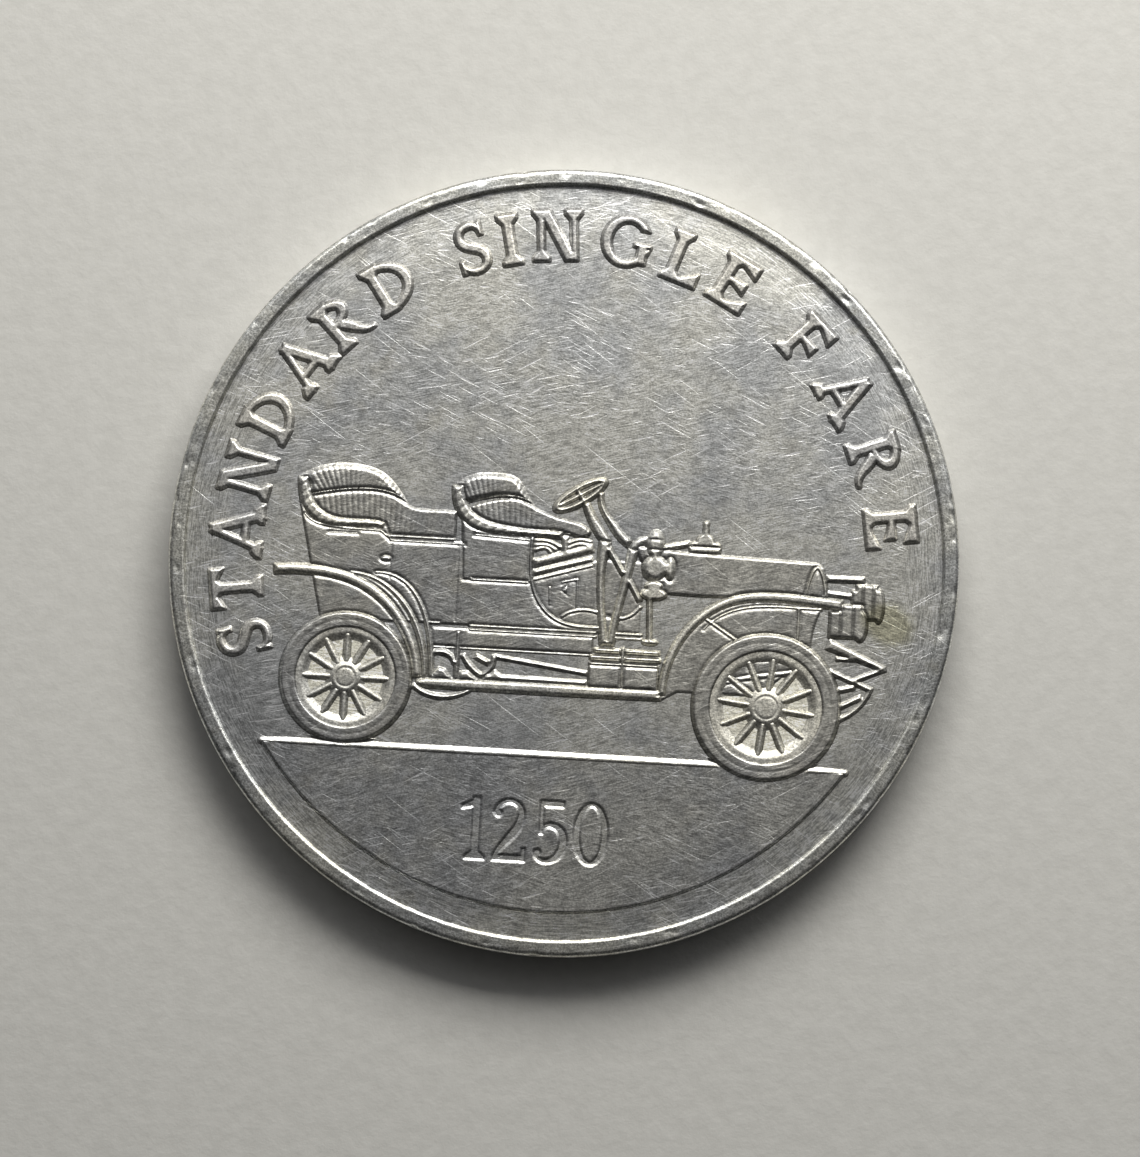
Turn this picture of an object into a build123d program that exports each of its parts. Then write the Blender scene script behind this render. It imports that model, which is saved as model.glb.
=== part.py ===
"""A struck transit token: an aluminium disc with a raised rim, a touring car in relief above a ground
line, a legend round the top, a number sunk below the line and a plain reverse with one numeral.

Millimetres. The origin is the centre of the reverse rim's resting plane, +Z points out of the obverse,
+X runs along the ground line to the reader's right and +Y to the top of the design.

The real token is one piece of metal. Each node here is one region of the strike: a solid of its own
that stands on the field or on the region below it, touches its neighbours and overlaps none of them.
"""

from build123d import *
from math import cos, radians, sin
import os

# Driving dimensions of the blank
DIAMETER = 26.0
RIM_WIDTH = 0.52
RIM_HEIGHT = 0.18  # rim above the field, on both faces
CORE_THICKNESS = 1.36  # from field to field
CORNER = 0.14  # rounding of the rim's outer corners

RADIUS = DIAMETER / 2
FIELD_Z = RIM_HEIGHT + CORE_THICKNESS

STRIKE_DEPTH = 0.65  # share of the relief heights given below that the strike reaches

# Driving dimensions of the obverse design
GROUND_Y = -6.45
PANEL_RADIUS = 11.55  # the arc that closes the panel under the ground line
PANEL_HEIGHT = 0.07  # the number is cut right through the panel to the field
LEGEND_BASELINE = 9.95
LEGEND_CAP = 1.7
NUMBER_CAP = 2.05
NUMBER_Y = -9.95  # baseline of the number under the ground line
LETTER_HEIGHT = 0.15
REAR_AXLE = (-6.95, -4.22)
REAR_WHEEL_RADIUS = 2.17
FRONT_AXLE = (6.88, -4.45)
FRONT_WHEEL_RADIUS = 2.44
SPOKES = 12
SILL_Y = -2.3  # lower edge of the coachwork
BELT_Y = 0.45  # upper edge of the rear panels
BONNET_Y = 0.4  # top of the bonnet
BOARD_Y = -4.1  # top of the running board

# Driving dimensions of the reverse design
NUMERAL_CAP = 9.0
CIRCLE_RADIUS = 9.6

# A glyph is drawn at a cap height of 1 and scaled; these are shares of the cap height
STEM = 0.18
HAIR = 0.12
SERIF = 0.08
OVERHANG = 0.1
BRACKET = 0.2  # how far up a stem its serif's bracket reaches

SMALLEST_FACE = 0.03  # square millimetres; a smaller scrap left by a cut is dropped


# ---- Plane shapes -------------------------------------------------------------------------------


def polygon(*points):
    """A closed outline with straight sides."""
    return make_face(Polyline(*points, close=True))


def box(x0, y0, x1, y1):
    """An upright rectangle from two opposite corners."""
    return Pos((x0 + x1) / 2, (y0 + y1) / 2) * Rectangle(abs(x1 - x0), abs(y1 - y0))


def disc(centre, radius):
    return Pos(*centre) * Circle(radius)


def ring(centre, outer, inner):
    return disc(centre, outer) - disc(centre, inner)


def oval(centre, half_length, half_width, turn=0.0):
    """An ellipse, its long axis turned from +X by an angle in degrees."""
    return Pos(*centre) * Rot(0, 0, turn) * Ellipse(half_length, half_width)


def rod(start, end, width, end_width=None):
    """A straight stroke with square ends, which may taper."""
    (x0, y0), (x1, y1) = start, end
    length = ((x1 - x0) ** 2 + (y1 - y0) ** 2) ** 0.5
    across = ((y0 - y1) / length, (x1 - x0) / length)
    near, far = width / 2, (end_width or width) / 2
    return polygon(
        (x0 + across[0] * near, y0 + across[1] * near),
        (x0 - across[0] * near, y0 - across[1] * near),
        (x1 - across[0] * far, y1 - across[1] * far),
        (x1 + across[0] * far, y1 + across[1] * far),
    )


def ribbon(points, widths):
    """A curved stroke along a smooth centreline. The widths are spread evenly along it."""
    centre = Spline(*points)
    steps = 4 * (len(points) - 1)
    left, right = [], []
    for i in range(steps + 1):
        t = i / steps
        place = t * (len(widths) - 1)
        k = min(int(place), len(widths) - 2)
        half = (widths[k] + (widths[k + 1] - widths[k]) * (place - k)) / 2
        at, along = centre @ t, centre % t
        left.append((at.X - along.Y * half, at.Y + along.X * half))
        right.append((at.X + along.Y * half, at.Y - along.X * half))
    sides = Spline(*left) + Line(left[-1], right[-1]) + Spline(*reversed(right)) + Line(right[0], left[0])
    return make_face(sides)


def joined(*shapes):
    """The union of several plane shapes."""
    whole = shapes[0]
    for shape in shapes[1:]:
        whole = whole + shape
    return whole


def on_ellipse(centre, half_x, half_y, degrees):
    return (centre[0] + half_x * cos(radians(degrees)), centre[1] + half_y * sin(radians(degrees)))


def on_circle(centre, radius, degrees):
    return on_ellipse(centre, radius, radius, degrees)


# ---- Letters and figures ------------------------------------------------------------------------


def serif(x, end, left=OVERHANG, right=OVERHANG, stem=STEM, bracket=BRACKET):
    """The bracketed foot (end 0) or head (end 1) of a stem centred on x."""
    inward = 1 if end == 0 else -1
    low, middle, high = end, end + inward * SERIF * bracket / BRACKET, end + inward * bracket
    return polygon(
        (x - stem / 2 - left, low), (x + stem / 2 + right, low), (x + stem / 2 + right, middle),
        (x + stem / 2, high), (x - stem / 2, high), (x - stem / 2 - left, middle),
    )


def stem(x, width=STEM):
    return joined(box(x - width / 2, 0, x + width / 2, 1), serif(x, 0, stem=width), serif(x, 1, stem=width))


def arm(x0, x1, y, beak):
    """A thin arm of E, F, L or T that widens to a beak, upward or downward, at its far end."""
    back = x1 - 0.6 * (x1 - x0) if x1 > x0 else x1 + 0.6 * (x0 - x1)
    near, far = (y + HAIR, y) if beak > 0 else (y, y + HAIR)
    return polygon((x0, far), (x1, far), (x1, near + beak), (back, near), (x0, near))


def bowl(x, low, high, reach):
    """The round side of D or R: thick at the right and thin above and below."""
    middle, half = (low + high) / 2, (high - low) / 2
    outer = oval((x, middle), reach, half)
    inner = oval((x, middle), reach - STEM, half - HAIR)
    return (outer - inner) & box(x, low, x + reach, high)


def letter_a():
    return joined(
        rod((0.09, 0.0), (0.43, 1.0), HAIR),
        rod((0.79, 0.0), (0.42, 1.0), STEM),
        box(0.2, 0.28, 0.66, 0.28 + HAIR),
        serif(0.09, 0, stem=HAIR),
        serif(0.79, 0),
    )


def letter_d():
    return stem(0.16) + bowl(0.16, 0, 1, 0.68)


def letter_e():
    arms = joined(arm(0.16, 0.68, 1 - HAIR, -0.14), arm(0.16, 0.6, 0.46, -0.1), arm(0.16, 0.75, 0, 0.15))
    return stem(0.16) + arms


def letter_f():
    return stem(0.16) + arm(0.16, 0.7, 1 - HAIR, -0.14) + arm(0.16, 0.6, 0.44, -0.1)


def letter_g():
    outer = oval((0.5, 0.5), 0.48, 0.5)
    inner = oval((0.52, 0.5), 0.32, 0.5 - HAIR)
    mouth = box(0.55, 0.4, 1.1, 0.76)
    spur = box(0.74, 0.1, 0.74 + STEM, 0.46)
    shelf = box(0.66, 0.43, 0.99, 0.5)
    return (outer - inner - mouth) + spur + shelf


def letter_i():
    return stem(0.17)


def letter_l():
    return stem(0.16) + arm(0.16, 0.7, 0, 0.18)


def letter_n():
    return joined(
        rod((0.14, 0.0), (0.14, 1.0), HAIR),
        rod((0.78, 0.0), (0.78, 1.0), HAIR),
        polygon((0.1, 1.0), (0.1 + STEM * 1.2, 1.0), (0.82, 0.0), (0.82 - STEM * 1.2, 0.0)),
        serif(0.14, 0, stem=HAIR),
        serif(0.14, 1, right=0.0, stem=HAIR),
        serif(0.78, 1, stem=HAIR),
    )


def letter_r():
    leg = ribbon([(0.3, 0.5), (0.48, 0.3), (0.64, 0.1), (0.84, 0.03)], [STEM, STEM, 0.12, 0.06])
    return joined(stem(0.16), bowl(0.16, 0.45, 1, 0.5), leg)


def letter_s():
    spine = ribbon(
        [(0.58, 0.8), (0.42, 0.95), (0.2, 0.85), (0.18, 0.66), (0.38, 0.5), (0.58, 0.34), (0.56, 0.14),
         (0.34, 0.05), (0.12, 0.2)],
        [0.06, HAIR, 0.12, 0.16, 0.17, 0.16, 0.12, HAIR, 0.06],
    )
    return joined(spine, box(0.56, 0.72, 0.56 + 0.07, 0.98), box(0.07, 0.03, 0.07 + 0.07, 0.29))


def letter_t():
    return stem(0.4) + arm(0.4, 0.79, 1 - HAIR, -0.14) + arm(0.4, 0.01, 1 - HAIR, -0.14)


def figure_one():
    flag = polygon((0.325, 1.0), (0.25, 0.98), (0.02, 0.86), (0.02, 0.8), (0.2, 0.84))
    return joined(box(0.195, 0, 0.325, 1), serif(0.26, 0, stem=0.13, bracket=0.13), flag)


def figure_two():
    hook = ribbon(
        [(0.07, 0.76), (0.15, 0.91), (0.31, 0.96), (0.46, 0.86), (0.47, 0.66), (0.32, 0.4), (0.08, 0.08)],
        [0.07, 0.07, 0.08, 0.12, 0.13, 0.1, 0.07],
    )
    return joined(hook, box(0.04, 0, 0.56, 0.1), box(0.5, 0, 0.57, 0.22), disc((0.11, 0.76), 0.06))


def figure_five():
    belly = ribbon(
        [(0.14, 0.5), (0.3, 0.61), (0.47, 0.5), (0.5, 0.3), (0.4, 0.1), (0.22, 0.03), (0.07, 0.14)],
        [0.06, 0.08, 0.12, 0.13, 0.11, 0.07, 0.06],
    )
    return joined(belly, box(0.11, 0.46, 0.18, 1), box(0.11, 0.9, 0.5, 1), disc((0.1, 0.16), 0.06))


def figure_nought():
    return oval((0.3, 0.5), 0.28, 0.5) - oval((0.3, 0.5), 0.17, 0.44)


GLYPHS = {  # the shape, and how far the next one starts along the line
    "A": (letter_a, 0.92),
    "D": (letter_d, 0.94),
    "E": (letter_e, 0.82),
    "F": (letter_f, 0.76),
    "G": (letter_g, 1.06),
    "I": (letter_i, 0.42),
    "L": (letter_l, 0.78),
    "N": (letter_n, 0.98),
    "R": (letter_r, 0.94),
    "S": (letter_s, 0.76),
    "T": (letter_t, 0.86),
    "0": (figure_nought, 0.66),
    "1": (figure_one, 0.5),
    "2": (figure_two, 0.66),
    "5": (figure_five, 0.64),
}


def text_on_arc(text, cap, baseline, first_degrees, last_degrees):
    """Letters standing on a circle, spaced so that the word fills the arc from first to last, clockwise."""
    advances = [GLYPHS[c][1] for c in text]
    step = (first_degrees - last_degrees) / sum(advances)
    glyphs, travelled = [], 0.0
    for character, advance in zip(text, advances):
        middle = first_degrees - step * (travelled + advance / 2)
        upright = Pos(-advance * cap / 2, baseline) * scale(GLYPHS[character][0](), by=cap)
        glyphs.append(Rot(0, 0, middle - 90) * upright)
        travelled += advance
    return glyphs


def text_on_line(text, cap, x, y):
    """Letters on a level baseline, centred on x."""
    width = sum(GLYPHS[c][1] for c in text) * cap
    glyphs, left = [], x - width / 2
    for character in text:
        glyphs.append(Pos(left, y) * scale(GLYPHS[character][0](), by=cap))
        left += GLYPHS[character][1] * cap
    return glyphs


# ---- The touring car ----------------------------------------------------------------------------


def wheel(prefix, axle, radius, height, turned):
    """One artillery wheel: its tyre, felloe, spokes and hub, as {node: (shapes, height)}. The first spoke
    stands at an angle turned from +X, in degrees."""
    bead = 0.735 * radius
    felloe = 0.68 * radius
    hub = 0.2 * radius
    spokes = []
    for i in range(SPOKES):
        turn = 360 / SPOKES * i + turned
        foot, head = on_circle(axle, hub * 0.9, turn), on_circle(axle, felloe * 1.02, turn)
        spokes.append(rod(foot, head, 0.21, 0.19))
    return {
        f"{prefix}_tyre": ([ring(axle, radius, bead)], height),
        f"{prefix}_felloe": ([ring(axle, bead, felloe)], height - 0.09),
        f"{prefix}_spokes": (spokes, height - 0.1),
        f"{prefix}_hub": ([disc(axle, hub)], height - 0.05),
    }


def coachwork():
    """The body panels, from the rear seat to the sweep of the front footwell."""
    sweep = [(-1.02, -0.75), (-0.72, -1.45), (-0.1, -1.98), (0.6, -2.14), (1.3, -2.14)]
    rear = polygon(
        (-8.82, 1.6), (-5.8, 1.3), (-5.7, BELT_Y), (-3.3, BELT_Y), (-3.3, SILL_Y), (-7.91, SILL_Y)
    )
    middle = make_face(
        Polyline((1.3, -2.14), (1.3, SILL_Y), (-3.4, SILL_Y), (-3.4, -0.7), (-1.02, -0.7), (-1.02, -0.75))
        + Spline(*sweep)
    )
    front = polygon((-3.42, 1.25), (-3.3, -0.8), (-1.02, -0.8), (-1.02, 0.75), (-2.9, 0.85))
    return {
        "body_side": ([rear, middle], 0.09),
        "front_seat_panel": ([front], 0.12),
        "body_sweep": ([ribbon([(-1.08, 0.72), (-1.1, 0.0)] + sweep, [0.12] * 3)], 0.15),
        "belt_moulding": (
            [ribbon([(-8.62, 1.12), (-8.36, 0.88), (-7.95, 0.74), (-7.3, 0.68)], [0.06, 0.08]),
             rod((-7.32, 0.68), (-6.05, 0.66), 0.08), rod((-6.08, 0.67), (-5.72, 0.38), 0.08),
             rod((-7.8, 0.53), (-6.8, 0.53), 0.05),
             rod((-5.76, 0.36), (-3.28, 0.36), 0.07), rod((-5.85, 0.5), (-3.6, 0.5), 0.11),
             rod((-3.0, 0.7), (-1.15, 0.62), 0.08), rod((-3.05, -0.78), (-1.1, -0.78), 0.09)],
            0.14,
        ),
        "sill_moulding": (
            [rod((-4.45, SILL_Y + 0.03), (-3.95, SILL_Y + 0.03), 0.09)]
            + [rod((x0, y), (x1, y), 0.07)
               for x0, x1 in ((-3.0, 1.2), (1.75, 2.7))
               for y in (SILL_Y, SILL_Y - 0.14)],
            0.13,
        ),
        "door_handle": ([oval((-5.85, -0.25), 0.19, 0.11)], 0.17),
        "footwell": (
            [polygon((-1.0, -0.6), (1.2, 0.1), (2.6, 0.1), (2.6, -2.25), (0.2, -2.25), (-0.8, -1.5))],
            0.04,
        ),
        "toe_board": (
            [ribbon([(0.0, -1.86), (0.45, -1.62), (1.0, -1.6), (1.7, -1.78), (2.6, -1.35)], [0.1, 0.1])],
            0.1,
        ),
    }


def seats():
    """Both buttoned seats: the rolled back, the cushion under it and the arm that runs along the panel."""
    rear_back = make_face(
        Spline(
            (-8.62, 1.62), (-8.92, 2.2), (-8.3, 2.64), (-7.0, 2.82), (-6.1, 2.58), (-5.5, 2.0), (-5.2, 1.55)
        )
        + Spline((-5.2, 1.55), (-5.8, 1.85), (-6.9, 1.93), (-7.9, 1.78), (-8.62, 1.62))
    )
    rear_cushion = make_face(
        Spline(
            (-8.5, 1.66), (-7.9, 1.8), (-6.9, 1.95), (-5.8, 1.87), (-5.1, 1.52), (-4.4, 1.46), (-3.6, 1.44)
        )
        + Polyline((-3.6, 1.44), (-3.6, 0.55), (-5.8, 0.55), (-5.95, 0.95), (-7.9, 0.95), (-8.5, 1.66))
    )
    front_back = make_face(
        Spline(
            (-3.25, 1.72), (-3.86, 2.1), (-3.35, 2.6), (-2.4, 2.78), (-1.65, 2.62), (-1.3, 2.1), (-0.95, 1.66)
        )
        + Spline((-0.95, 1.66), (-1.5, 1.92), (-2.4, 1.95), (-3.25, 1.72))
    )
    front_cushion = make_face(
        Spline((-3.3, 1.6), (-2.4, 1.9), (-1.5, 1.92), (-0.9, 1.66), (0.0, 1.38), (0.6, 1.22), (0.85, 1.0))
        + Spline((0.85, 1.0), (0.75, 0.84), (0.0, 0.92), (-1.2, 0.95), (-2.6, 1.0), (-3.3, 1.6))
    )
    return {
        "rear_seat_back": ([rear_back], 0.19),
        "rear_seat_cushion": ([rear_cushion], 0.13),
        "rear_seat_arm": (
            [ribbon(
                [(-8.72, 2.3), (-8.62, 1.75), (-8.4, 1.3), (-7.97, 0.98), (-7.4, 0.87), (-5.97, 0.83)],
                [0.3, 0.42, 0.4, 0.3, 0.26, 0.22],
            )],
            0.2,
        ),
        "front_seat_back": ([front_back], 0.2),
        "front_seat_cushion": ([front_cushion], 0.14),
        "front_seat_arm": (
            [ribbon(
                [(-3.62, 2.3), (-3.55, 1.85), (-3.33, 1.42), (-2.95, 1.12), (-2.3, 0.94), (-1.1, 0.86),
                 (-0.1, 0.84)],
                [0.34, 0.44, 0.44, 0.36, 0.3, 0.26, 0.24],
            )],
            0.21,
        ),
        "seat_frame": (
            [rod((-0.98, -0.12), (0.93, 0.48), 0.26), rod((-0.98, -0.44), (0.93, 0.12), 0.17),
             rod((-0.98, -0.68), (0.95, -0.1), 0.1), rod((0.0, 0.8), (0.04, 0.1), 0.2)]
            + [ribbon([(-0.98, 0.62 - 0.16 * k), (-0.5, 0.6 - 0.14 * k), (-0.12 - 0.16 * k, 0.42 - 0.1 * k)],
                      [0.1, 0.1]) for k in range(3)]
            + [ribbon([(0.12, 0.58 - 0.16 * k), (0.5, 0.72 - 0.14 * k), (0.86, 0.66 - 0.12 * k)], [0.1, 0.1])
               for k in range(2)],
            0.12,
        ),
    }


def controls():
    """The steering wheel and column and the side levers."""
    hub, turn = (0.42, 2.2), 33
    rim = oval(hub, 0.98, 0.3, turn) - oval(hub, 0.8, 0.17, turn)
    spokes = joined(rod((-0.4, 1.72), (1.2, 2.66), 0.09), rod((0.28, 2.42), (0.62, 1.9), 0.1))
    return {
        "steering_wheel": ([rim + (spokes & oval(hub, 0.9, 0.24, turn))], 0.22),
        "steering_column": (
            [ribbon([(0.62, 1.96), (0.83, 1.48), (1.08, 1.08), (1.38, 0.68)], [0.22, 0.28, 0.34, 0.3]),
             ribbon([(1.1, 2.32), (1.2, 1.76), (1.53, 1.29), (1.82, 0.93), (2.12, 0.68)],
                    [0.14, 0.18, 0.28, 0.28])],
            0.18,
        ),
        "side_levers": (
            [ribbon([(1.32, 0.72), (1.25, 0.1), (1.27, -1.2), (1.46, -2.7)], [0.36, 0.24, 0.22, 0.26]),
             ribbon([(2.26, 0.5), (2.15, -0.1), (1.9, -1.3), (1.66, -2.7)], [0.3, 0.26, 0.24, 0.24]),
             rod((1.44, 0.52), (1.98, -0.34), 0.19), rod((2.16, -0.5), (2.56, -1.2), 0.18)],
            0.2,
        ),
    }


def pedals():
    """The pedals and their bracket in the footwell."""
    return {
        "pedals": (
            [rod((-0.42, -0.86), (-0.38, -1.5), 0.09), rod((-0.06, -0.72), (0.5, -0.58), 0.09),
             rod((0.48, -0.56), (0.5, -1.53), 0.09), polygon((-0.02, -0.98), (0.16, -0.78), (0.16, -1.12))],
            0.08,
        ),
    }


def engine_end():
    """The dash, bonnet, lamps and front springs."""
    bonnet = make_face(
        Polyline((8.64, -0.9), (3.1, -0.9), (2.5, 0.2), (2.35, 0.62), (4.0, 0.5), (8.2, BONNET_Y))
        + ThreePointArc((8.2, BONNET_Y), (8.48, BONNET_Y - 0.1), (8.58, BONNET_Y - 0.4))
        + Line((8.58, BONNET_Y - 0.4), (8.64, -0.9))
    )
    return {
        "bonnet": ([bonnet], 0.12),
        "radiator_band": (
            [ribbon(
                [(8.06, -0.85), (8.12, -0.15), (8.36, 0.24), (8.5, 0.02), (8.54, -0.85)], [0.1, 0.12, 0.16]
            )],
            0.17,
        ),
        "filler_cap": (
            [box(4.1, 0.5, 5.12, 0.74), disc((4.26, 0.7), 0.19), disc((4.96, 0.7), 0.18),
             oval((4.61, 0.84), 0.3, 0.32),
             polygon((4.5, 1.1), (4.72, 1.1), (4.68, 1.48), (4.54, 1.48)), disc((4.61, 1.48), 0.1)],
            0.14,
        ),
        "dash_rail": (
            [ribbon([(2.24, 0.4), (2.42, 0.74), (2.76, 0.84)], [0.28, 0.22]),
             rod((3.1, 0.58), (4.1, 0.8), 0.19)],
            0.13,
        ),
        "side_lamp": (
            [disc((3.0, -0.06), 0.42), oval((3.5, -0.08), 0.18, 0.4), oval((2.97, 0.7), 0.28, 0.46)],
            0.24,
        ),
        "side_lamp_foot": (
            [oval((3.0, -0.66), 0.3, 0.16), oval((3.0, -0.93), 0.44, 0.2), oval((2.96, -2.52), 0.26, 0.1),
             rod((2.88, -1.1), (2.94, -2.5), 0.15)],
            0.18,
        ),
        "near_headlamp": (
            [box(8.8, -2.04, 9.8, -1.14), oval((9.84, -1.6), 0.24, 0.54), box(9.1, -1.2, 9.9, -0.9)],
            0.19,
        ),
        "far_headlamp": (
            [box(9.5, -1.4, 10.4, -0.42), oval((10.42, -0.92), 0.18, 0.58), box(9.64, -0.48, 10.36, -0.22)],
            0.15,
        ),
        "lamp_bracket": (
            [rod((8.66, -0.1), (9.9, -0.08), 0.2), rod((8.6, -0.57), (9.5, -0.64), 0.15)],
            0.1,
        ),
        "front_spring": (
            [rod((8.8, -2.25), (10.7, -2.98), 0.36, 0.18), rod((10.72, -2.96), (9.6, -3.46), 0.16),
             rod((8.9, -3.14), (10.25, -3.66), 0.17, 0.15), rod((9.1, -2.72), (9.7, -2.72), 0.11),
             ribbon([(10.3, -3.6), (10.05, -4.1), (9.2, -4.75)], [0.12, 0.14, 0.16]),
             rod((9.2, -3.76), (9.75, -3.62), 0.17), rod((9.2, -4.36), (9.98, -3.93), 0.16)],
            0.13,
        ),
        "front_leaf_spring": (
            [ribbon([(5.3, -3.78), (6.2, -3.52), (7.1, -3.36), (7.9, -3.2)], [0.14, 0.2, 0.14]),
             rod((6.1, -2.9), (6.9, -2.84), 0.12), rod((7.05, -2.84), (7.5, -2.9), 0.12),
             rod((6.3, -2.9), (6.4, -3.5), 0.1)],
            0.1,
        ),
    }


def fenders_and_board():
    """Both mudguards, the running board and the box on it."""
    centre = (6.6, -4.25)
    crown = [(9.22, centre[1] + 3.3)] + [on_ellipse(centre, 3.15, 3.42, a) for a in (90, 112, 134, 156, 180)]
    lip = [(8.55, centre[1] + 3.12)] + [on_ellipse(centre, 2.75, 3.11, a) for a in (90, 112, 134)]
    splash = make_face(
        Spline(*[on_ellipse(centre, 3.1, 3.35, a) for a in (180, 156, 134, 112, 90)])
        + Polyline((6.6, -0.9), (8.62, -0.95))
        + Spline((8.62, -0.95), (8.36, -1.6), (8.25, -2.6))
        + Polyline((8.25, -2.6), (6.6, -4.1), (3.95, -4.1), (3.42, -4.42), (3.42, -4.25), (3.5, -4.25))
    )
    return {
        "rear_mudguard": (
            [ribbon(
                [(-9.5, -0.79), (-8.0, -0.77), (-6.4, -1.22), (-5.24, -2.3), (-4.62, -4.1)],
                [0.34, 0.36, 0.3],
            )],
            0.2,
        ),
        "rear_mudguard_ribs": (
            [ribbon([(-7.0, -0.76), (-5.75, -1.16), (-4.86, -2.15), (-4.38, -4.08)], [0.1, 0.21, 0.15]),
             ribbon([(-6.2, -0.73), (-5.15, -1.02), (-4.5, -1.95), (-4.16, -4.08)], [0.08, 0.17, 0.13])],
            0.17,
        ),
        "front_mudguard": ([ribbon(crown, [0.34, 0.3, 0.24])], 0.21),
        "front_mudguard_frame": (
            [ribbon(lip, [0.09, 0.1, 0.06]), rod((4.6, -1.55), (5.8, -2.3), 0.12),
             rod((7.8, -1.1), (7.8, -2.4), 0.12)],
            0.12,
        ),
        "splash_panel": ([splash], 0.07),
        "running_board": (
            [polygon((-4.62, BOARD_Y - 0.08), (-4.1, BOARD_Y), (3.42, BOARD_Y), (3.42, BOARD_Y - 0.32),
                     (-4.3, BOARD_Y - 0.32), (-4.62, BOARD_Y - 0.22))],
            0.18,
        ),
        "toolbox": ([box(1.0, BOARD_Y, 2.06, -3.26), box(2.14, BOARD_Y, 3.3, -3.26)], 0.16),
        "toolbox_lids": (
            [box(1.16, -2.94, 2.02, -2.8), box(2.18, -2.94, 3.3, -2.8), box(1.02, -3.18, 2.04, -3.04),
             box(2.16, -3.18, 3.34, -3.04), rod((2.1, BOARD_Y), (2.1, -2.74), 0.09)],
            0.19,
        ),
    }


def underbody():
    """What shows between the sill and the running board."""
    return {
        "frame_rail": ([box(-4.2, -3.1, 1.1, SILL_Y - 0.12)], 0.07),
        "radius_rods": (
            [rod((-2.1, -3.27), (0.95, -3.66), 0.14, 0.14), rod((-2.4, -3.96), (0.95, -3.98), 0.2, 0.16),
             polygon((-2.45, -4.05), (-2.05, -3.72), (-1.8, -3.9), (-1.8, -4.05))],
            0.12,
        ),
        "rear_spring": (
            [ribbon([(-4.3, -3.42), (-3.95, -3.22), (-3.6, -3.3), (-3.42, -3.6)], [0.1, 0.2, 0.1]),
             polygon((-4.2, BOARD_Y), (-3.92, -3.72), (-3.7, -3.78), (-3.46, BOARD_Y)),
             polygon((-3.24, BOARD_Y), (-3.2, -3.84), (-2.95, -3.8), (-2.62, BOARD_Y)),
             ribbon([(-3.14, -3.26), (-2.86, -3.66), (-2.5, -3.92)], [0.12, 0.2, 0.12]),
             ribbon([(-2.5, -3.92), (-2.2, -3.66), (-2.12, -3.24)], [0.12, 0.14, 0.12]),
             rod((-2.72, -3.3), (-2.3, -3.5), 0.16),
             ribbon([(-4.72, -4.35), (-4.3, -4.6), (-3.6, -4.68), (-2.85, -4.42)], [0.14, 0.18, 0.1]),
             rod((-3.33, -2.5), (-3.33, BOARD_Y), 0.12)],
            0.14,
        ),
    }


# ---- The blank, the legend and the reverse ------------------------------------------------------


def rim():
    """One raised rim as it stands on the obverse, at the height of the field, with a rounded outer corner."""
    blank = Cylinder(RADIUS, RIM_HEIGHT, align=(Align.CENTER, Align.CENTER, Align.MIN))
    outer = fillet(blank.faces().sort_by(Axis.Z)[-1].edges(), CORNER)
    return outer - Cylinder(RADIUS - RIM_WIDTH, RIM_HEIGHT, align=(Align.CENTER, Align.CENTER, Align.MIN))


def ground():
    """The panel under the ground line with the number cut out of it, and the raised line itself."""
    half = (PANEL_RADIUS**2 - GROUND_Y**2) ** 0.5
    panel = disc((0, 0), PANEL_RADIUS) & box(-RADIUS, -RADIUS, RADIUS, GROUND_Y)
    panel = panel - joined(*text_on_line("1250", NUMBER_CAP, -0.4, NUMBER_Y))
    return {
        "exergue_panel": ([panel], PANEL_HEIGHT),
        "ground_line": (
            [polygon((-half, GROUND_Y), (-half + 0.9, GROUND_Y + 0.06), (half - 0.9, GROUND_Y + 0.06),
                     (half, GROUND_Y), (half - 0.9, GROUND_Y - 0.08), (-half + 0.9, GROUND_Y - 0.08))],
            0.1,
        ),
    }


def raised(shapes, height):
    """Plane shapes as upright solids standing on the field."""
    faces = [face for shape in shapes for face in shape.faces()]
    prisms = [extrude(face, amount=height * STRIKE_DEPTH, dir=(0, 0, 1)) for face in faces]
    return [Pos(0, 0, FIELD_Z) * solid for prism in prisms for solid in prism.solids()]


def raise_regions(regions):
    """Each region's footprint, less those of the taller regions, as solids standing on the field."""
    tallest_first = sorted(regions.items(), key=lambda item: -item[1][1])
    standing, nodes = [], {}
    for name, (shapes, height) in tallest_first:
        left = joined(*shapes)
        for taller in standing:
            left = left - taller
        standing += shapes
        faces = [face for face in left.faces() if face.area > SMALLEST_FACE]
        nodes[name] = raised(faces, height)
    return nodes


def turned_over(solids):
    """Obverse solids turned about the Y axis on to the reverse."""
    return [Pos(0, 0, FIELD_Z + RIM_HEIGHT) * Rot(0, 180, 0) * solid for solid in solids]


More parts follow.
